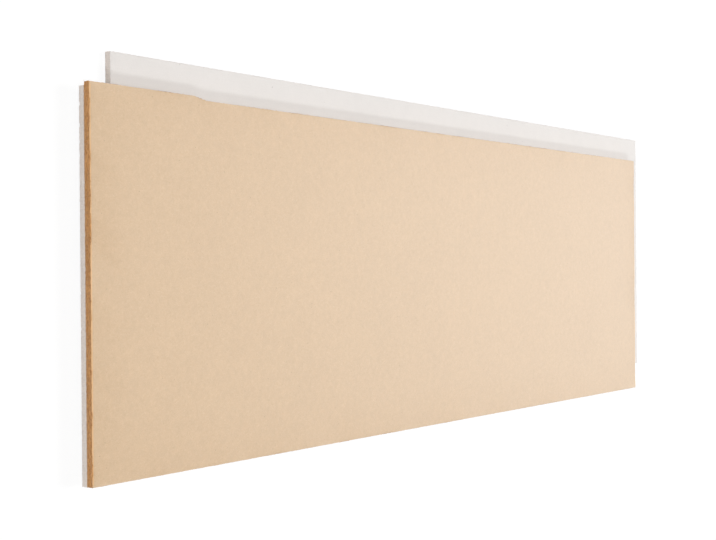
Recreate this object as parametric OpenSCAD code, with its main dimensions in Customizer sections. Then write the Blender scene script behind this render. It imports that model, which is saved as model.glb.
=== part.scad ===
// Laminated dry screed floor element.
// Two gypsum fibre boards of one format are glued together with a diagonal offset, so
// that each long side and each end has a step for lapping the next element. A wood
// fibre insulation board of the same format is glued flush onto one of them.
// The element lies on its walking face, with the insulation uppermost. The origin is
// at the centre of the element's outline, on the surface that it lies on.

/* [Board format] */
// Length of each of the three boards
board_length = 1500; // [600:10:2500]
// Width of each of the three boards
board_width = 500; // [300:5:1250]

/* [Layers] */
// Thickness of the gypsum fibre board whose outer face is walked on
walking_side_thickness = 10; // [6:0.5:25]
// Thickness of the gypsum fibre board that the insulation is glued to
insulation_side_thickness = 10; // [6:0.5:25]
// Thickness of the wood fibre insulation board
wood_fibre_thickness = 10; // [4:0.5:60]

/* [Stepped edge] */
// Width of the step along the two long sides
long_side_step = 50; // [15:1:80]
// Width of the step along the two ends
end_step = 50; // [15:1:80]
// Size of the break on the sawn arrises of the gypsum fibre boards
gypsum_arris = 0.5; // [0.1:0.1:1.5]

/* [Uneven insulation edge] */
// How far the insulation stands past its gypsum board on part of one long side
proud_depth = 4.5; // [0.5:0.5:8]
// Length of the stretch that stands proud, measured from the board's end
proud_length = 180; // [40:5:400]
// Length over which the proud stretch runs back to flush
proud_runout = 25; // [5:1:80]

/* [Hidden] */

gypsum_colour = [0.93, 0.90, 0.88];
wood_fibre_colour = [0.87, 0.76, 0.64];

// Outline of the whole element, with the steps
element_length = board_length + end_step;
element_width = board_width + long_side_step;

// Corner of the insulation side board, and of the insulation on it
insulation_side_corner = [-element_length / 2, -element_width / 2];
// Corner of the walking side board, offset by one step each way
walking_side_corner = insulation_side_corner + [end_step, long_side_step];

// Levels of the two glue joints
walking_side_top = walking_side_thickness;
insulation_side_top = walking_side_top + insulation_side_thickness;

// A rectangle with each corner cut off by the same break
module broken_rectangle(size, arris) {
    far = size - [arris, arris];
    polygon([
        [arris, 0],
        [far.x, 0],
        [size.x, arris],
        [size.x, far.y],
        [far.x, size.y],
        [arris, size.y],
        [0, far.y],
        [0, arris]
    ]);
}

// A sawn board with a break on all twelve arrises: its plan, its side and its end
// are each extruded through it, and what they share is the board
module sawn_board(size, arris) {
    intersection() {
        linear_extrude(size.z)
            broken_rectangle([size.x, size.y], arris);
        translate([0, size.y, 0])
            rotate([90, 0, 0])
                linear_extrude(size.y)
                    broken_rectangle([size.x, size.z], arris);
        rotate([90, 0, 90])
            linear_extrude(size.x)
                broken_rectangle([size.y, size.z], arris);
    }
}

// Outline of the insulation, with the stretch of one long side that stands proud
module uneven_outline(length, width) {
    polygon([
        [0, 0],
        [length, 0],
        [length, width],
        [proud_length + proud_runout, width],
        [proud_length, width + proud_depth],
        [0, width + proud_depth]
    ]);
}

module walking_side_gypsum_board() {
    color(gypsum_colour)
        translate(walking_side_corner)
            sawn_board([board_length, board_width, walking_side_thickness], gypsum_arris);
}

module insulation_side_gypsum_board() {
    color(gypsum_colour)
        translate([insulation_side_corner.x, insulation_side_corner.y, walking_side_top])
            sawn_board([board_length, board_width, insulation_side_thickness], gypsum_arris);
}

module wood_fibre_insulation_board() {
    color(wood_fibre_colour)
        translate([insulation_side_corner.x, insulation_side_corner.y, insulation_side_top])
            linear_extrude(wood_fibre_thickness)
                uneven_outline(board_length, board_width);
}

walking_side_gypsum_board();
insulation_side_gypsum_board();
wood_fibre_insulation_board();
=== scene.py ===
"""Finishes a laminated dry screed floor element around its packed construction.

Two sawn gypsum fibre boards are glued with a diagonal offset, and a wood fibre insulation
board lies flush on one of them. Each board is cut, worn and torn along its edges here, and
gets the finish of its own material. The construction itself is never moved or resized.
"""

import math
from functools import reduce

import bmesh
import bpy
import numpy as np
from bpy.props import FloatProperty, FloatVectorProperty, IntProperty, PointerProperty
from mathutils import Matrix, Quaternion, Vector


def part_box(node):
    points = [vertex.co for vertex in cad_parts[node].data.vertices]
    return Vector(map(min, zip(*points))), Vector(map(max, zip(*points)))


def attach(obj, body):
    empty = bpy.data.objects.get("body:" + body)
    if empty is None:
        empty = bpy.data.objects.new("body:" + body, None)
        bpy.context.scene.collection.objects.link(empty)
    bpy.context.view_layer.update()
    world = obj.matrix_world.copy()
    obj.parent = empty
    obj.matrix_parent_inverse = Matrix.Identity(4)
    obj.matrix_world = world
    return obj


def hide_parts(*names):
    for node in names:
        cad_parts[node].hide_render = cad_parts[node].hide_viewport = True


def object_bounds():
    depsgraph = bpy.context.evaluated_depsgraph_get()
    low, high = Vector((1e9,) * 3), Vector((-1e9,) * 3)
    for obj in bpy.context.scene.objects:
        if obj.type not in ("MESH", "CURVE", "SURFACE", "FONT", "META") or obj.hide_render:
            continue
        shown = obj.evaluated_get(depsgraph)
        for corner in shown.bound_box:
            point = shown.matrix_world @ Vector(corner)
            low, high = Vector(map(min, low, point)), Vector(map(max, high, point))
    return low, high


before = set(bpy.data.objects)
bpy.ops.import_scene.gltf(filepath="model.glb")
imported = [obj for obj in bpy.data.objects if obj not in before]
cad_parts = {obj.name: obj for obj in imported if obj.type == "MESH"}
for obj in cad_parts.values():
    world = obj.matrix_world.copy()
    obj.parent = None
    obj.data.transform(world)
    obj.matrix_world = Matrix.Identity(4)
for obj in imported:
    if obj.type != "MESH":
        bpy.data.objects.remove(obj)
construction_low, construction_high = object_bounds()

bl_info = {
    "name": "Dry Screed Element",
    "version": (1, 0, 0),
    "blender": (4, 5, 0),
    "location": "3D View > Sidebar > Screed",
    "description": "Finishes the gypsum fibre and wood fibre boards of a dry screed element",
    "category": "Object",
}

MM = 0.001
WALKING_NODE = "walking_side_gypsum_board"
CARRIER_NODE = "insulation_side_gypsum_board"
INSULATION_NODE = "wood_fibre_insulation_board"

# Distances in from the outline at which each board gets a line of points on its two faces
RIM_LINES = (1.25 * MM, 2.5 * MM, 4.5 * MM)
# Shares of the thickness at which the sawn edges get a line of points
EDGE_LINES = (0.13, 0.25, 0.37, 0.5, 0.63, 0.75, 0.87)
# Length of the coarse panels that the faces are divided into
PANEL_LENGTH = 62.5 * MM
# How far apart two places may be and still count as one
TOLERANCE = 1e-6
# Faces that meet at less than this angle are shaded as one smooth surface
SMOOTH_ANGLE = math.radians(35)
# Share of the baking map that is left free beside each band
MAP_MARGIN = 0.01
# How many times wider than its break an arris of a gypsum board is worn
WEAR_REACH = 3
# Steps in which the wood fibre board runs back from its proud stretch
RUN_BACK_STEPS = 4
# Faces of the wood fibre board count as sawn while their normal rises less than this
SAWN_RISE = 0.6
# Fibres within this distance of an arris are drawn more often, in this share of all draws
TORN_BAND = 2 * MM
TORN_SHARE = 0.7
# How far each shape of fibre bends over, as a share of its length
FIBRE_BENDS = (0.5, 1.2, -0.9)
# Rings of points that divide a fibre along its length
FIBRE_RINGS = 4
# How many times thicker a fibre is at its root than at its tip
FIBRE_TAPER = 3
# How far a fibre may tilt up or down while it lies along the edge
FIBRE_TILT = 0.6
# How much the flattest and the steepest fibre stand out of the face
FIBRE_RISES = (0.05, 0.45)
# The shortest and the longest fibre, as shares of the full length
FIBRE_SIZES = (0.35, 1.0)
# Gap that keeps the floor clear of the lowest face
FLOOR_GAP = 0.1 * MM
# How far off the lamps are drawn, which changes nothing in their light
LAMP_DISTANCE = 3.0
# Width of the camera's sensor, in millimetres
SENSOR_WIDTH = 36.0
# The nearest and the farthest distance that the camera takes in
VIEW_DEPTH = (0.05, 200.0)


# ---------------------------------------------------------------- modelling helpers


def only(piece):
    """The piece alone is selected and active, in object mode."""
    if bpy.context.object is not None and bpy.context.object.mode != "OBJECT":
        bpy.ops.object.mode_set(mode="OBJECT")
    bpy.ops.object.select_all(action="DESELECT")
    if piece is not None:
        piece.select_set(True)
        bpy.context.view_layer.objects.active = piece


class Editing:
    """Edit mode on one piece, with nothing in it selected at the start."""

    def __init__(self, piece, select_mode="EDGE"):
        self.piece = piece
        self.select_mode = select_mode

    def __enter__(self):
        only(self.piece)
        bpy.ops.object.mode_set(mode="EDIT")
        bpy.ops.mesh.select_mode(type=self.select_mode)
        bpy.ops.mesh.select_all(action="DESELECT")
        return self

    def __exit__(self, *problem):
        bpy.ops.object.mode_set(mode="OBJECT")

    def select(self, kind, wanted):
        """Selects the points or edges that the test passes, by their place."""
        bpy.ops.mesh.select_all(action="DESELECT")
        mesh = bmesh.from_edit_mesh(self.piece.data)
        for element in getattr(mesh, kind):
            if wanted(element):
                element.select_set(True)
        mesh.select_flush_mode()
        bmesh.update_edit_mesh(self.piece.data)

    def cut_across(self, axis, place):
        """Cuts a line of points round the whole piece, square to an axis."""
        point = [0.0, 0.0, 0.0]
        normal = [0.0, 0.0, 0.0]
        point[axis] = place
        normal[axis] = 1.0
        bpy.ops.mesh.select_all(action="SELECT")
        bpy.ops.mesh.bisect(plane_co=point, plane_no=normal, threshold=1e-7)


def inset_of(point, low, high):
    """How far a point lies inside a rectangular outline."""
    return min(point.x - low.x, high.x - point.x, point.y - low.y, high.y - point.y)


def sawn_board(name, low, high, arris, spacing):
    """A board with broken arrises, whose sawn edges and rims carry close-set points for
    wear, while its faces are left in coarse panels."""
    only(None)
    bpy.ops.mesh.primitive_cube_add(size=1, location=(low + high) / 2, scale=high - low)
    board = bpy.context.object
    board.name = name
    board.data.name = name
    bpy.ops.object.transform_apply(location=True, rotation=True, scale=True)
    rim = RIM_LINES[-1]
    with Editing(board) as edit:
        bpy.ops.mesh.select_all(action="SELECT")
        bpy.ops.mesh.bevel(offset=arris, segments=2, affect="EDGES")
        for axis in (0, 1):
            for inset in RIM_LINES:
                edit.cut_across(axis, low[axis] + inset)
                edit.cut_across(axis, high[axis] - inset)
            inner = high[axis] - low[axis] - 2 * rim
            panels = round(inner / PANEL_LENGTH)
            for panel in range(1, panels):
                edit.cut_across(axis, low[axis] + rim + inner * panel / panels)
        for level in EDGE_LINES:
            edit.cut_across(2, low.z + (high.z - low.z) * level)

        def runs_along_rim(edge):
            a, b = (vert.co for vert in edge.verts)
            inset = inset_of(a, low, high)
            return (
                (a - b).length > PANEL_LENGTH / 2
                and inset < rim + arris
                and abs(inset - inset_of(b, low, high)) < arris
            )

        edit.select("edges", runs_along_rim)
        bpy.ops.mesh.subdivide(number_cuts=round(PANEL_LENGTH / spacing) - 1)
    return board


def mark_wear(board, low, high, arris, wear_width, side_share):
    """Attributes that the finish reads, and the point groups that the relief follows: how
    much a point belongs to a sawn edge, how near it is to an arris, how near it is to an
    upper arris, and whether it is nearer an end than a long edge. The two long edges get
    only side_share of the relief of the ends."""
    places = places_of(board)
    insets = np.minimum(places[:, :2] - np.array(low)[:2], np.array(high)[:2] - places[:, :2])
    inset = insets.min(axis=1)
    depth = np.minimum(places[:, 2] - low.z, high.z - places[:, 2])
    near_arris = np.clip(1 - np.maximum(inset, depth) / wear_width, 0, 1)
    levels = {
        "sawn": np.clip(1 - inset / arris, 0, 1),
        "arris": near_arris,
        "upper_rim": np.where(places[:, 2] > (low.z + high.z) / 2, near_arris, 0),
    }
    on_end = insets[:, 0] < insets[:, 1]
    note(board, "end", on_end.astype(float))
    strength = np.where(on_end, 1.0, side_share)
    for name, values in levels.items():
        note(board, name, values)
        group = board.vertex_groups.new(name=name)
        for index in np.flatnonzero(values > 0):
            group.add([int(index)], float(values[index] * strength[index]), "REPLACE")


def note(board, name, values):
    """Keeps a value for each point, for the finish to read."""
    attribute = board.data.attributes.new(name, "FLOAT", "POINT")
    attribute.data.foreach_set("value", values.astype(np.float32))


def places_of(piece):
    """The places of the piece's points, one row each."""
    places = np.empty(len(piece.data.vertices) * 3)
    piece.data.vertices.foreach_get("co", places)
    return places.reshape(-1, 3)


def lay_out_map(board, low, high, face_shares, edge_share):
    """A map for baking. The upper and the lower face and the sawn edges lie in bands one
    above another, each as high as its share, with the two ends side by side in one band."""
    mesh = board.data
    corners = np.empty(len(mesh.loops), dtype=np.int32)
    mesh.loops.foreach_get("vertex_index", corners)
    normals = np.empty(len(mesh.polygons) * 3)
    mesh.polygons.foreach_get("normal", normals)
    counts = np.empty(len(mesh.polygons), dtype=np.int32)
    mesh.polygons.foreach_get("loop_total", counts)
    facing = np.repeat(normals.reshape(-1, 3), counts, axis=0)
    reach = (places_of(board)[corners] - np.array(low)) / np.array(high - low)
    axis = np.abs(facing).argmax(axis=1)
    positive = facing[np.arange(len(facing)), axis] > 0
    used = 1 - 2 * MAP_MARGIN
    across = np.where(axis == 2, reach[:, 1], reach[:, 2])
    along = np.where(axis == 0, (reach[:, 1] * used + positive) / 2, reach[:, 0])
    heights = (*face_shares, edge_share, edge_share, edge_share)
    gap = (1 - sum(heights)) / (len(heights) + 1)
    starts = [gap * (band + 1) + sum(heights[:band]) for band in range(len(heights))]
    band = np.select([axis == 2, axis == 1], [np.where(positive, 0, 1), 2 + positive], 4)
    up = np.array(starts)[band] + across * np.array(heights)[band]
    layout = np.stack([MAP_MARGIN + along * used, up], axis=1)
    layer = mesh.uv_layers.new(name="OFBake")
    layer.uv.foreach_set("vector", layout.astype(np.float32).ravel())


def cloud_texture(name, grain, detail, hollow, full):
    """Soft noise that is 0 up to hollow and 1 from full."""
    texture = bpy.data.textures.new(name, type="CLOUDS")
    texture.noise_scale = grain
    texture.noise_depth = detail
    texture.use_color_ramp = True
    for stop, place, shade in zip(texture.color_ramp.elements, (hollow, full), (0, 1)):
        stop.position = place
        stop.color = (shade, shade, shade, 1)
    return texture


def wear_down(board, group, texture, depth, direction="NORMAL"):
    """Takes the grouped points back from the sawn size by up to depth, never past it."""
    only(board)
    bpy.ops.object.modifier_add(type="DISPLACE")
    modifier = board.modifiers[-1]
    modifier.texture = texture
    modifier.direction = direction
    modifier.texture_coords = "LOCAL"
    modifier.vertex_group = group
    modifier.mid_level = 1.0
    modifier.strength = depth
    bpy.ops.object.modifier_apply(modifier=modifier.name)


def finish_piece(piece, material, node=None):
    """The piece rides on the element, takes its material and may stand for its node."""
    only(piece)
    bpy.ops.object.shade_smooth_by_angle(angle=SMOOTH_ANGLE)
    piece.data.materials.clear()
    piece.data.materials.append(material)
    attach(piece, "root")
    if node is not None:
        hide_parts(node)


# ---------------------------------------------------------------- shader helpers


class Value:
    """A number in a finish. Arithmetic on it adds Math nodes."""

    def __init__(self, finish, socket):
        self.finish = finish
        self.socket = socket

    def math(self, operation, *operands):
        return self.finish.node("ShaderNodeMath", {"operation": operation}, operands)

    def __add__(self, other):
        return self.math("ADD", self, other)

    def __sub__(self, other):
        return self.math("SUBTRACT", self, other)

    def __rsub__(self, other):
        return self.math("SUBTRACT", other, self)

    def __mul__(self, other):
        return self.math("MULTIPLY", self, other)

    __radd__ = __add__
    __rmul__ = __mul__

    def larger(self, other):
        return self.math("MAXIMUM", self, other)

    def ramp(self, low, high):
        """0 up to low, 1 from high, and a soft step between them."""
        return self.finish.node(
            "ShaderNodeMapRange",
            {"interpolation_type": "SMOOTHSTEP"},
            {"Value": self, "From Min": low, "From Max": high},
        )


class Finish:
    """The nodes that give a material, or the room, its look."""

    def __init__(self, owner, **constants):
        owner.use_nodes = True
        self.owner = owner
        self.tree = owner.node_tree
        self.shader = self.tree.nodes.get("Principled BSDF")
        for socket, value in constants.items():
            self.shader.inputs[socket.replace("_", " ")].default_value = value

    def node(self, kind, settings, inputs, output=0):
        """Adds a node: its settings first, then the values or links of its sockets."""
        made = self.tree.nodes.new(kind)
        for setting, value in settings.items():
            setattr(made, setting, value)
        named = inputs.items() if isinstance(inputs, dict) else enumerate(inputs)
        for socket, value in named:
            if isinstance(value, Value):
                self.tree.links.new(value.socket, made.inputs[socket])
            else:
                made.inputs[socket].default_value = value
        return Value(self, made.outputs[output])

    def place(self):
        """The piece's own coordinates, in metres."""
        return self.node("ShaderNodeTexCoord", {}, {}, "Object")

    def attribute(self, name):
        """A value that the piece keeps for each point."""
        return self.node("ShaderNodeAttribute", {"attribute_name": name}, {}, "Fac")

    def turned(self, vector, degrees, lengths):
        """Coordinates turned about Z and measured in the given lengths."""
        return self.node(
            "ShaderNodeMapping",
            {"vector_type": "TEXTURE"},
            {"Vector": vector, "Rotation": (0, 0, math.radians(degrees)), "Scale": lengths},
        )

    def noise(self, vector, size=1.0, detail=2.0, roughness=0.5):
        """Soft noise whose grains are about size across, from 0 to 1."""
        return self.node(
            "ShaderNodeTexNoise",
            {},
            {"Vector": vector, "Scale": 1 / size, "Detail": detail, "Roughness": roughness},
        )

    def warped(self, vector, size, amount):
        """Coordinates pushed about by soft noise, so that straight grains bend."""
        drift = self.node(
            "ShaderNodeTexNoise", {}, {"Vector": vector, "Scale": 1 / size, "Detail": 1.0}, "Color"
        )
        return self.node(
            "ShaderNodeVectorMath",
            {"operation": "MULTIPLY_ADD"},
            (drift, (amount, amount, amount), vector),
        )

    def seen_directly(self):
        """1 where the camera looks, straight or by a mirror or through glass."""
        rays = self.tree.nodes.new("ShaderNodeLightPath").outputs
        straight, mirrored, through = (
            Value(self, rays[name])
            for name in ("Is Camera Ray", "Is Glossy Ray", "Is Transmission Ray")
        )
        return straight + mirrored + through

    def spots(self, vector, size=1.0):
        """Distance from scattered points that lie about size apart, in that size."""
        return self.node(
            "ShaderNodeTexVoronoi", {}, {"Vector": vector, "Scale": 1 / size}, "Distance"
        )

    def mix(self, factor, a, b):
        """A colour between two colours. The node's colour sockets are 6 and 7, and 2 comes out."""
        return self.node("ShaderNodeMix", {"data_type": "RGBA"}, {0: factor, 6: a, 7: b}, 2)

    def shade(self, colour, amount):
        """A colour made lighter or darker: amount is the factor on all three channels."""
        grey = self.node("ShaderNodeCombineXYZ", {}, (amount, amount, amount))
        return self.node("ShaderNodeVectorMath", {"operation": "MULTIPLY"}, (colour, grey))

    def set(self, **links):
        """Feeds the shader's sockets, and gives back the finished material."""
        for socket, value in links.items():
            self.tree.links.new(value.socket, self.shader.inputs[socket.replace("_", " ")])
        return self.owner

    def show(self, surface):
        """Makes this the surface, in place of the Principled shader."""
        output = next(node for node in self.tree.nodes if node.type.startswith("OUTPUT"))
        self.tree.links.new(surface.socket, output.inputs["Surface"])
        if self.shader is not None:
            self.tree.nodes.remove(self.shader)
        return self.owner

    def relief(self, height, depth):
        """A normal from a height of 0 to 1 that stands for depth metres."""
        return self.node(
            "ShaderNodeBump", {}, {"Strength": 1.0, "Distance": depth, "Height": height}
        )


def rgba(colour):
    """The colour with full opacity, as colour sockets take it."""
    return (*colour, 1.0)


def material_finish(name, **constants):
    """A new material, with the shader's constant values set."""
    return Finish(bpy.data.materials.new(name), **constants)


# ---------------------------------------------------------------- finishes


def gypsum_fibre_finish(settings):
    """Sanded gypsum fibre board: a chalky pale body with fine paper fibres, a few specks and
    pits and faint sanding marks, and grainier saw-cut edges."""
    finish = material_finish("gypsum_fibre", Specular_IOR_Level=0.4)
    place = finish.place()
    sawn = finish.attribute("sawn")
    arris = finish.attribute("arris")

    clouds = finish.noise(place, size=180 * MM, detail=3.0)
    patches = finish.noise(place, size=20 * MM, detail=3.0)
    grain = finish.noise(place, size=1.8 * MM, detail=3.0, roughness=0.65)
    crumbs = finish.noise(place, size=3.4 * MM, detail=4.0, roughness=0.7)
    sanding = finish.noise(finish.turned(place, 0, (90 * MM, 1.1 * MM, 1.1 * MM)))
    saw_marks = finish.noise(finish.turned(place, 0, (1.4 * MM, 1.4 * MM, 45 * MM)))
    fibre_size = (5 * MM, 0.9 * MM, 0.9 * MM)
    fibre_layers = [
        1 - finish.spots(finish.turned(place, degrees, fibre_size)).ramp(0.10, 0.24)
        for degrees in (18, 64, 113, 157)
    ]
    fibres = reduce(Value.__add__, fibre_layers)
    uneven = finish.warped(place, size=1.6 * MM, amount=1.8 * MM)
    pits = 1 - finish.spots(uneven, size=7 * MM).ramp(0.03, 0.08)
    specks = 1 - finish.spots(uneven, size=23 * MM).ramp(0.02, 0.04)
    open_grain = 1 - finish.spots(uneven, size=3.1 * MM).ramp(0.08, 0.32)

    # Pits and open grain are drawn darker where the relief sinks them: painted shade in the pits.
    tone = (
        1.0
        + (clouds - 0.5) * 0.05
        + (patches - 0.5) * 0.05
        + (grain - 0.5) * 0.06
        + (sanding - 0.5) * 0.03
        - pits * 0.10
    )
    edge_tone = (
        1.0
        + (crumbs - 0.5) * 0.36
        + (saw_marks - 0.5) * 0.12
        + (patches - 0.5) * 0.10
        - open_grain * 0.12
    )
    face = finish.mix(fibres * 0.16, rgba(settings.face_colour), rgba(settings.fibre_colour))
    face = finish.mix(specks * 0.6, face, rgba(settings.speck_colour))
    face = finish.shade(face, tone + arris * 0.02)
    edge = finish.mix(fibres * 0.3, rgba(settings.edge_colour), rgba(settings.fibre_colour))
    edge = finish.shade(edge, edge_tone)
    smear = (finish.attribute("smeared") * (crumbs * 3.0 - 0.5)).ramp(0.28, 0.62)
    body = finish.mix(sawn, face, edge)
    height = (
        grain * 0.35
        + sanding * 0.15
        + fibres * 0.12
        - pits * 0.8
        + sawn * (saw_marks * 0.5 + crumbs * 1.8 - open_grain * 0.9)
    )
    return finish.set(
        Base_Color=finish.mix(smear * 0.85, body, rgba(settings.smear_colour)),
        Normal=finish.relief(height, depth=0.14 * MM),
        Roughness=0.62 - fibres * 0.06 + sawn * 0.26,
    )


def wood_fibre_finish(settings):
    """Pressed wood fibre board: a felt of fine fibres in every direction, with darker
    slivers and specks of bark, and brown, torn saw-cut edges with painted shade in their hollows
    and a paler crushed arris that carries a painted highlight."""
    finish = material_finish(
        "wood_fibre",
        Specular_IOR_Level=0.45,
        Sheen_Weight=settings.sheen,
        Sheen_Roughness=0.5,
    )
    place = finish.place()
    sawn = finish.attribute("sawn")
    arris = finish.attribute("arris")

    clouds = finish.noise(place, size=140 * MM, detail=3.0)
    patches = finish.noise(place, size=34 * MM, detail=2.0)
    mottle = finish.noise(place, size=9 * MM, detail=3.0, roughness=0.6)
    grain = finish.noise(place, size=1.3 * MM, detail=3.0, roughness=0.7)
    bent = finish.warped(place, size=6 * MM, amount=2.4 * MM)
    felt_size = (7 * MM, 0.8 * MM, 0.8 * MM)
    felt_layers = [
        finish.noise(finish.turned(bent, degrees, felt_size), roughness=0.6)
        for degrees in (8, 47, 82, 121, 163)
    ]
    felt = reduce(Value.larger, felt_layers)
    sliver_size = (16 * MM, 2.2 * MM, 2.2 * MM)
    sliver_layers = [
        1 - finish.spots(finish.turned(bent, degrees, sliver_size)).ramp(0.07, 0.15)
        for degrees in (27, 71, 138)
    ]
    slivers = reduce(Value.larger, sliver_layers)
    specks = 1 - finish.spots(place, size=15 * MM).ramp(0.03, 0.06)
    matted = finish.turned(bent, 0, (5 * MM, 5 * MM, 1.2 * MM))
    mats = finish.noise(matted, detail=4.0, roughness=0.7)
    tears = finish.noise(place, size=2.6 * MM, detail=4.0, roughness=0.7)
    stretches = finish.noise(place, size=60 * MM, detail=4.0, roughness=0.6)
    flattened = finish.turned(bent, 0, (3.2 * MM, 3.2 * MM, 0.8 * MM))
    cut_ends = 1 - finish.spots(flattened).ramp(0.12, 0.30)

    face = finish.mix(
        felt.ramp(0.52, 0.78), rgba(settings.face_colour), rgba(settings.fibre_colour)
    )
    face = finish.mix(slivers * 0.35, face, rgba(settings.sliver_colour))
    face = finish.mix(specks * 0.5, face, rgba(settings.speck_colour))
    tone = (
        1.0
        + (clouds - 0.5) * 0.06
        + (patches - 0.5) * 0.03
        + (mottle - 0.5) * 0.15
        + (grain - 0.5) * 0.08
    )
    face = finish.shade(face, tone)
    # A paler colour along the crushed arrises of the face: the crushed fibres' own paler tone, with
    # a painted highlight along the arris.
    crushed_and_lit_rim = (arris * (1 - sawn) * (0.4 + tears * 1.4)).ramp(0.10, 0.55)
    rim = finish.mix(
        finish.attribute("end"), rgba(settings.side_rim_and_highlight_colour), rgba(settings.end_rim_and_highlight_colour)
    )
    face = finish.mix(crushed_and_lit_rim * 0.9, face, rim)
    core = sawn.larger((finish.attribute("bared") + (tears - 0.5) * 0.5).ramp(0.40, 0.62))
    # Darker brown where the mats noise is low, where the edge's bump relief is also low: painted
    # shade in the hollows, over the sawn edge's own brown.
    edge = finish.mix(
        mats.ramp(0.34, 0.66), rgba(settings.edge_hollow_shade_colour), rgba(settings.edge_colour)
    )
    edge = finish.mix(cut_ends * 0.45, edge, rgba(settings.cut_end_colour))
    edge = finish.shade(edge, 0.47 + tears * 0.48 + stretches * 0.58)
    height = (
        felt * 0.8
        + grain * 0.35
        + slivers * 0.3
        + core * (mats * 2.2 + tears * 2.4 + cut_ends * 0.7)
    )
    return finish.set(
        Base_Color=finish.mix(core, face, edge),
        Normal=finish.relief(height, depth=0.19 * MM),
        Roughness=0.42 + grain * 0.12 + core * 0.30,
    )


def loose_fibre_finish(settings):
    """Single fibres: each a little paler or browner than the next."""
    finish = material_finish("loose_fibre", Specular_IOR_Level=0.3)
    place = finish.place()
    tint = finish.noise(place, size=5 * MM)
    streaks = finish.noise(place, size=0.6 * MM)
    body = finish.mix(
        tint.ramp(0.35, 0.65), rgba(settings.edge_colour), rgba(settings.cut_end_colour)
    )
    return finish.set(
        Base_Color=finish.shade(body, 0.85 + streaks * 0.3),
        Roughness=0.75 + streaks * 0.15,
    )


def floor_finish(settings):
    """A pale floor that keeps the element's shadow and looks white where it is fully lit."""
    finish = material_finish("pale_floor")
    seen = finish.seen_directly()
    floor = finish.node("ShaderNodeBsdfDiffuse", {}, {"Color": rgba(settings.floor_colour)})
    glow = finish.node("ShaderNodeEmission", {}, {"Strength": settings.floor_glow})
    return finish.show(
        finish.node("ShaderNodeMixShader", {}, (seen * settings.floor_lift, floor, glow))
    )


def room_finish(settings):
    """Even light from all round, which looks plain white itself."""
    finish = Finish(bpy.data.worlds.new("pale_room"))
    light, white = (
        finish.node("ShaderNodeBackground", {}, {"Color": (1, 1, 1, 1), "Strength": strength})
        for strength in (settings.sky_strength, 1.0)
    )
    return finish.show(
        finish.node("ShaderNodeMixShader", {}, (finish.seen_directly(), light, white))
    )


# ---------------------------------------------------------------- settings


def length(name, description, default):
    """A setting in metres."""
    return FloatProperty(
        name=name, description=description, default=default, min=0.0, unit="LENGTH", precision=5
    )


def colour(name, description, default):
    """A setting that is a colour."""
    return FloatVectorProperty(
        name=name, description=description, default=default, min=0.0, max=1.0, subtype="COLOR"
    )


def angle(name, description, degrees):
    """A setting that is an angle, with its default in degrees."""
    return FloatProperty(
        name=name, description=description, default=math.radians(degrees), subtype="ANGLE"
    )


def share(name, description, default):
    """A setting that is a plain number from 0 up."""
    return FloatProperty(name=name, description=description, default=default, min=0.0)


class GypsumSettings(bpy.types.PropertyGroup):
    """Sizes and colours of the two gypsum fibre boards."""

    face_colour: colour("Face", "Colour of the sanded faces", (0.752, 0.719, 0.692))
    edge_colour: colour("Sawn edge", "Colour of the saw-cut edges", (0.840, 0.760, 0.697))
    fibre_colour: colour("Fibres", "Colour of the paper fibres", (0.60, 0.56, 0.52))
    speck_colour: colour("Specks", "Colour of the dark specks", (0.22, 0.20, 0.20))
    smear_colour: colour(
        "Smear", "Colour of the wood fibre smeared over the joint", (0.47, 0.24, 0.09)
    )
    arris: length("Arris", "Break on the arrises", 0.5 * MM)
    crumb_depth: length("Crumbs", "Depth of the crumbling along the arrises", 0.3 * MM)
    chip_depth: length("Chips", "Depth of the chips in the arrises", 0.9 * MM)
    edge_depth: length("Edge relief", "Depth of the relief of the sawn edges", 0.3 * MM)
    smear_width: length("Smear width", "How far the wood fibre is smeared over the joint", 0.9 * MM)
    spacing: length("Point spacing", "Distance between points along the edges", 1.25 * MM)


class WoodFibreSettings(bpy.types.PropertyGroup):
    """Sizes and colours of the wood fibre insulation board."""

    face_colour: colour("Face", "Main colour of the pressed face", (0.584, 0.399, 0.230))
    fibre_colour: colour("Pale fibres", "Colour of the pale fibres", (0.650, 0.469, 0.289))
    sliver_colour: colour("Slivers", "Colour of the darker slivers", (0.433, 0.264, 0.134))
    speck_colour: colour("Specks", "Colour of the specks of bark", (0.25, 0.14, 0.08))
    edge_colour: colour("Sawn edge", "Main colour of the sawn edges", (0.645, 0.320, 0.104))
    # Painted shade for the hollows of the sawn edges
    edge_hollow_shade_colour: colour("Edge hollows", "Colour in the hollows", (0.394, 0.167, 0.044))
    cut_end_colour: colour("Cut ends", "Colour of the cut fibre ends", (0.76, 0.44, 0.185))
    # The two rim colours are the paler crushed fibre with a painted highlight along the arrises.
    end_rim_and_highlight_colour: colour("Rim", "Colour of the crushed arris of the ends", (0.76, 0.46, 0.215))
    side_rim_and_highlight_colour: colour("Side rim", "Colour of the long arrises", (0.62, 0.445, 0.285))
    arris: length("Arris", "Break on the arrises", 0.6 * MM)
    rim_width: length("Rim width", "Width of the crushed rim of the faces", 3.6 * MM)
    wave_depth: length("Waves", "Depth of the slow waves along the edges", 0.7 * MM)
    tear_depth: length("Tears", "Depth of the torn fibres on the edges", 0.9 * MM)
    crush_depth: length("Crush", "Depth of the crushing along the arrises", 0.4 * MM)
    dent_depth: length("Dents", "Depth of the long dents along the arrises", 0.9 * MM)
    spacing: length("Point spacing", "Distance between points along the edges", 1.25 * MM)
    sheen: share("Sheen", "Strength of the soft glow of the fibres", 0.25)


class LooseFibreSettings(bpy.types.PropertyGroup):
    """Sizes and number of the fibres that stand out of the sawn edges."""

    count: IntProperty(
        name="Fibres of each shape", description="How many of each shape", default=600, min=1
    )
    fibre_length: length("Length", "Length of the longest fibres", 4.5 * MM)
    fibre_radius: length("Radius", "Half the thickness of a fibre at its root", 0.13 * MM)
    seed: IntProperty(name="Seed", description="Start of the random draws", default=7)


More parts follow.
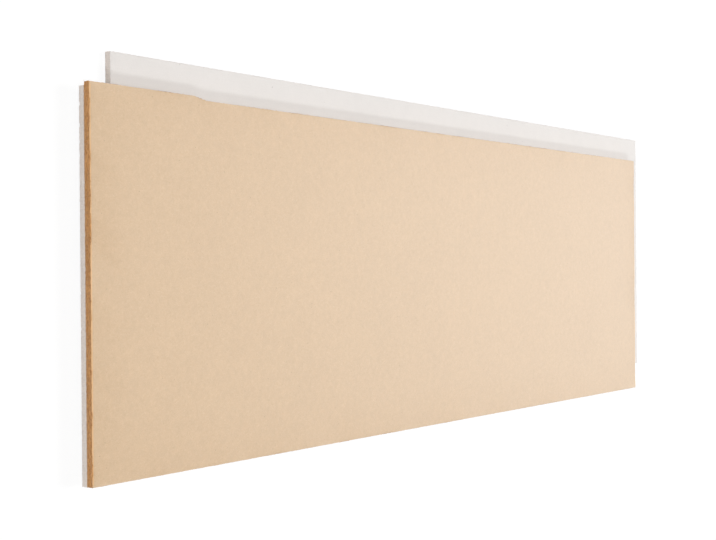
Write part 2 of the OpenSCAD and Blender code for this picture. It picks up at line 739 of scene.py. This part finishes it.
class StageSettings(bpy.types.PropertyGroup):
    """The floor, the lamps and the camera."""

    floor_colour: colour("Floor", "Colour of the floor", (0.80, 0.80, 0.80))
    floor_lift: share("Floor lift", "Share of the floor's glow that the camera sees", 0.81)
    floor_glow: share("Floor glow", "Strength of that glow", 1.09)
    floor_size: length("Floor size", "Length of the floor's sides", 40.0)
    sky_strength: share("Sky", "Strength of the light from all round", 0.21)
    key_strength: share("Key", "Light of the main lamp on a level face", 0.145)
    key_softness: angle("Key softness", "How wide the main lamp looks", 9)
    key_azimuth: angle("Key azimuth", "Turn of the main lamp about the vertical", -30)
    key_elevation: angle("Key elevation", "Height of the main lamp", 42)
    far_strength: share("Far lamp", "Light of the lamp beyond the far end", 0.45)
    far_softness: angle("Far softness", "How wide the far lamp looks", 30)
    far_azimuth: angle("Far azimuth", "Turn of the far lamp about the vertical", 92.5)
    far_elevation: angle("Far elevation", "Height of the far lamp", 40.5)
    near_strength: share("Near lamp", "Light of the lamp on the near end's side", 0.162)
    near_softness: angle("Near softness", "How wide the near lamp looks", 36)
    near_azimuth: angle("Near azimuth", "Turn of the near lamp about the vertical", -90)
    near_elevation: angle("Near elevation", "Height of the near lamp", 35)
    rear_strength: share("Rear lamp", "Light of the lamp behind the tongue's side", 0.03)
    rear_softness: angle("Rear softness", "How wide the rear lamp looks", 30)
    rear_azimuth: angle("Rear azimuth", "Turn of the rear lamp about the vertical", 180)
    rear_elevation: angle("Rear elevation", "Height of the rear lamp", 25)
    camera_target: FloatVectorProperty(
        name="Target",
        description="Point that the camera looks at",
        default=(-0.2483, -0.0086, 0.03),
        subtype="TRANSLATION",
        unit="LENGTH",
    )
    camera_distance: length("Distance", "From the target to the camera", 1.8945)
    camera_azimuth: angle("Azimuth", "Turn of the camera about the vertical", -90.2118)
    camera_elevation: angle("Elevation", "Height of the camera above the floor", 38.8511)
    camera_roll: angle("Roll", "Turn of the camera about its own line of sight", 89.6712)
    focal_length: FloatProperty(
        name="Focal length", description="In millimetres, on a 36 mm sensor", default=60.4405, min=1
    )


# ---------------------------------------------------------------- operators


class SCREED_OT_gypsum_boards(bpy.types.Operator):
    """Makes the two gypsum fibre boards with chipped arrises and sawn edges"""

    bl_idname = "screed.gypsum_boards"
    bl_label = "Gypsum Fibre Boards"

    def execute(self, context):
        settings = context.scene.screed_gypsum
        finish = gypsum_fibre_finish(settings)
        uneven = cloud_texture("sawn_gypsum", grain=5 * MM, detail=3, hollow=0.25, full=0.75)
        crumbs = cloud_texture("crumbled_gypsum", grain=2.5 * MM, detail=2, hollow=0.25, full=0.65)
        chips = cloud_texture("chipped_gypsum", grain=9 * MM, detail=2, hollow=0.24, full=0.36)
        for name, node, face_shares, edge_share in (
            ("walking_side_board", WALKING_NODE, (0.30, 0.36), 0.09),
            ("carrier_board", CARRIER_NODE, (0.08, 0.30), 0.17),
        ):
            low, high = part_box(node)
            board = sawn_board(name, low, high, settings.arris, settings.spacing)
            worn = WEAR_REACH * settings.arris
            mark_wear(board, low, high, settings.arris, worn, side_share=0.8)
            if node == CARRIER_NODE:
                below_joint = (high.z - places_of(board)[:, 2]) / settings.smear_width
                note(board, "smeared", np.clip(1 - below_joint, 0, 1))
            lay_out_map(board, low, high, face_shares, edge_share)
            wear_down(board, "sawn", uneven, settings.edge_depth)
            wear_down(board, "arris", crumbs, settings.crumb_depth)
            wear_down(board, "arris", chips, settings.chip_depth)
            finish_piece(board, finish, node)
        return {"FINISHED"}


def push_out(board, flush, proud):
    """Moves the first stretch of the long side out of line, and lets it run back to flush
    where the construction does."""
    corners = [vert.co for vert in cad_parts[INSULATION_NODE].data.vertices]
    proud_end = max(corner.x for corner in corners if corner.y > flush + proud / 2)
    flush_start = min(corner.x for corner in corners if abs(corner.y - flush) < proud / 2)
    innermost = flush - RIM_LINES[-1] - TOLERANCE
    with Editing(board, "VERT") as edit:
        edit.cut_across(0, proud_end)
        edit.cut_across(0, flush_start)
        for step in range(RUN_BACK_STEPS):
            last = proud_end + (flush_start - proud_end) * step / RUN_BACK_STEPS + TOLERANCE
            edit.select("verts", lambda vert: vert.co.x < last and vert.co.y > innermost)
            bpy.ops.transform.translate(value=(0, proud / RUN_BACK_STEPS, 0))


class SCREED_OT_wood_fibre_board(bpy.types.Operator):
    """Makes the wood fibre insulation board with torn edges and its proud stretch"""

    bl_idname = "screed.wood_fibre_board"
    bl_label = "Wood Fibre Board"

    def execute(self, context):
        settings = context.scene.screed_wood_fibre
        low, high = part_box(INSULATION_NODE)
        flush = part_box(CARRIER_NODE)[1].y
        proud = high.y - flush
        high = Vector((high.x, flush, high.z))
        board = sawn_board("wood_fibre_board", low, high, settings.arris, settings.spacing)
        mark_wear(board, low, high, settings.arris, settings.rim_width, side_share=0.5)
        lay_out_map(board, low, high, face_shares=(0.62, 0.05), edge_share=0.09)
        push_out(board, flush, proud)
        crush = cloud_texture("crushed_fibre", grain=6 * MM, detail=3, hollow=0.3, full=0.7)
        dents = cloud_texture("dented_fibre", grain=34 * MM, detail=2, hollow=0.32, full=0.68)
        waves = cloud_texture("waved_fibre", grain=26 * MM, detail=2, hollow=0.2, full=0.8)
        tears = cloud_texture("torn_fibre", grain=3.2 * MM, detail=3, hollow=0.3, full=0.7)
        top = places_of(board)[:, 2]
        wear_down(board, "upper_rim", dents, settings.dent_depth, "Z")
        wear_down(board, "upper_rim", crush, settings.crush_depth, "Z")
        note(board, "bared", (top - places_of(board)[:, 2]) / settings.dent_depth)
        wear_down(board, "sawn", waves, settings.wave_depth)
        wear_down(board, "sawn", tears, settings.tear_depth)
        finish_piece(board, wood_fibre_finish(settings), INSULATION_NODE)
        return {"FINISHED"}


def one_fibre(name, settings, bend):
    """A thin tapered fibre that rises from the origin and bends over along X."""
    tall = settings.fibre_length
    only(None)
    bpy.ops.mesh.primitive_cone_add(
        vertices=4,
        radius1=settings.fibre_radius,
        radius2=settings.fibre_radius / FIBRE_TAPER,
        depth=tall,
        location=(0, 0, tall / 2),
    )
    fibre = bpy.context.object
    fibre.name = name
    bpy.ops.object.transform_apply(location=True, rotation=True, scale=True)
    part = tall / FIBRE_RINGS
    with Editing(fibre, "VERT") as edit:
        for ring in range(1, FIBRE_RINGS):
            edit.cut_across(2, part * ring)
        for ring in range(1, FIBRE_RINGS + 1):
            edit.select("verts", lambda vert: vert.co.z > part * (ring - 0.5))
            bpy.ops.transform.translate(value=(bend * part * ring / FIBRE_RINGS, 0, 0))
    return fibre


def fibre_place(face, settings, draw):
    """A place for a fibre that is rooted in a sawn face and lies across it at a slant."""
    along = Vector((-face.normal.y, face.normal.x, 0)).normalized()
    turn = draw.uniform(0, 2 * math.pi)
    lie = along * math.cos(turn) + Vector((0, 0, FIBRE_TILT * math.sin(turn)))
    rise = (lie.normalized() + face.normal * draw.uniform(*FIBRE_RISES)).normalized()
    root = face.center - face.normal * settings.fibre_radius
    size = draw.uniform(*FIBRE_SIZES)
    return Matrix.LocRotScale(root, rise.to_track_quat("Z", "X"), Vector((size, size, size)))


class SCREED_OT_loose_fibres(bpy.types.Operator):
    """Makes the loose fibres on the sawn edges of the wood fibre board"""

    bl_idname = "screed.loose_fibres"
    bl_label = "Loose Fibres"

    def execute(self, context):
        settings = context.scene.screed_loose_fibres
        draw = np.random.default_rng(settings.seed)
        board = bpy.data.objects["wood_fibre_board"]
        low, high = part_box(INSULATION_NODE)
        sawn = [face for face in board.data.polygons if abs(face.normal.z) < SAWN_RISE]
        near_arris = [
            face
            for face in sawn
            if min(face.center.z - low.z, high.z - face.center.z) < TORN_BAND
        ]
        copies = []
        for index, bend in enumerate(FIBRE_BENDS):
            shape = one_fibre(f"fibre_{index}", settings, bend)
            outline = places_of(shape)
            while len(copies) < settings.count * (index + 1):
                faces = near_arris if draw.random() < TORN_SHARE else sawn
                place = fibre_place(faces[draw.integers(len(faces))], settings, draw)
                reach = outline @ np.array(place.to_3x3()).T + np.array(place.translation)
                if (reach < construction_low).any() or (reach > construction_high).any():
                    continue
                copy = shape.copy()
                copy.data = shape.data.copy()
                context.collection.objects.link(copy)
                copy.matrix_world = place
                copies.append(copy)
            bpy.data.objects.remove(shape)
        only(copies[0])
        for copy in copies:
            copy.select_set(True)
        bpy.ops.object.join()
        fibres = context.object
        fibres.name = "loose_fibres"
        fibres.data.name = "loose_fibres"
        bpy.ops.object.transform_apply(location=True, rotation=True, scale=True)
        finish = loose_fibre_finish(context.scene.screed_wood_fibre)
        finish_piece(fibres, finish)
        return {"FINISHED"}


def aim(azimuth, elevation):
    """The direction from a target towards something at that azimuth and elevation."""
    return Vector(
        (
            math.sin(azimuth) * math.cos(elevation),
            -math.cos(azimuth) * math.cos(elevation),
            math.sin(elevation),
        )
    )


class SCREED_OT_stage(bpy.types.Operator):
    """Sets out the floor, the lamps and the camera"""

    bl_idname = "screed.stage"
    bl_label = "Stage"

    def execute(self, context):
        settings = context.scene.screed_stage
        only(None)
        bpy.ops.mesh.primitive_plane_add(
            size=settings.floor_size, location=(0, 0, construction_low.z - FLOOR_GAP)
        )
        floor = context.object
        floor.name = "floor"
        floor.data.materials.append(floor_finish(settings))

        context.scene.world = room_finish(settings)
        for lamp in ("key", "far", "near", "rear"):
            elevation = getattr(settings, lamp + "_elevation")
            direction = aim(getattr(settings, lamp + "_azimuth"), elevation)
            bpy.ops.object.light_add(type="SUN", location=direction * LAMP_DISTANCE)
            light = context.object
            light.name = lamp + "_lamp"
            light.rotation_euler = direction.to_track_quat("Z", "Y").to_euler()
            strength = getattr(settings, lamp + "_strength")
            light.data.energy = strength * math.pi / math.sin(elevation)
            light.data.angle = getattr(settings, lamp + "_softness")

        back = aim(settings.camera_azimuth, settings.camera_elevation)
        target = Vector(settings.camera_target)
        bpy.ops.object.camera_add(location=target + back * settings.camera_distance)
        camera = context.object
        camera.name = "camera"
        camera.rotation_mode = "QUATERNION"
        roll = Quaternion((0, 0, 1), settings.camera_roll)
        camera.rotation_quaternion = back.to_track_quat("Z", "Y") @ roll
        camera.data.sensor_width = SENSOR_WIDTH
        camera.data.lens = settings.focal_length
        camera.data.clip_start, camera.data.clip_end = VIEW_DEPTH
        context.scene.camera = camera
        context.scene.view_settings.view_transform = "Standard"
        return {"FINISHED"}


# The steps in the order in which they run, and the settings of each
STEPS = (
    (SCREED_OT_gypsum_boards, "screed_gypsum", GypsumSettings),
    (SCREED_OT_wood_fibre_board, "screed_wood_fibre", WoodFibreSettings),
    (SCREED_OT_loose_fibres, "screed_loose_fibres", LooseFibreSettings),
    (SCREED_OT_stage, "screed_stage", StageSettings),
)


class SCREED_PT_sidebar(bpy.types.Panel):
    """Lists the steps that make the element, with their sizes and colours"""

    bl_idname = "SCREED_PT_sidebar"
    bl_label = "Dry Screed Element"
    bl_space_type = "VIEW_3D"
    bl_region_type = "UI"
    bl_category = "Screed"

    def draw(self, context):
        for operator, name, group in STEPS:
            box = self.layout.box()
            box.operator(operator.bl_idname)
            for setting in group.__annotations__:
                box.prop(getattr(context.scene, name), setting)


def register():
    for operator, name, group in STEPS:
        bpy.utils.register_class(group)
        bpy.utils.register_class(operator)
        setattr(bpy.types.Scene, name, PointerProperty(type=group))
    bpy.utils.register_class(SCREED_PT_sidebar)


def unregister():
    bpy.utils.unregister_class(SCREED_PT_sidebar)
    for operator, name, group in reversed(STEPS):
        delattr(bpy.types.Scene, name)
        bpy.utils.unregister_class(operator)
        bpy.utils.unregister_class(group)


def main():
    register()
    bpy.ops.screed.gypsum_boards()
    bpy.ops.screed.wood_fibre_board()
    bpy.ops.screed.loose_fibres()
    bpy.ops.screed.stage()


if __name__ == "__main__":
    main()
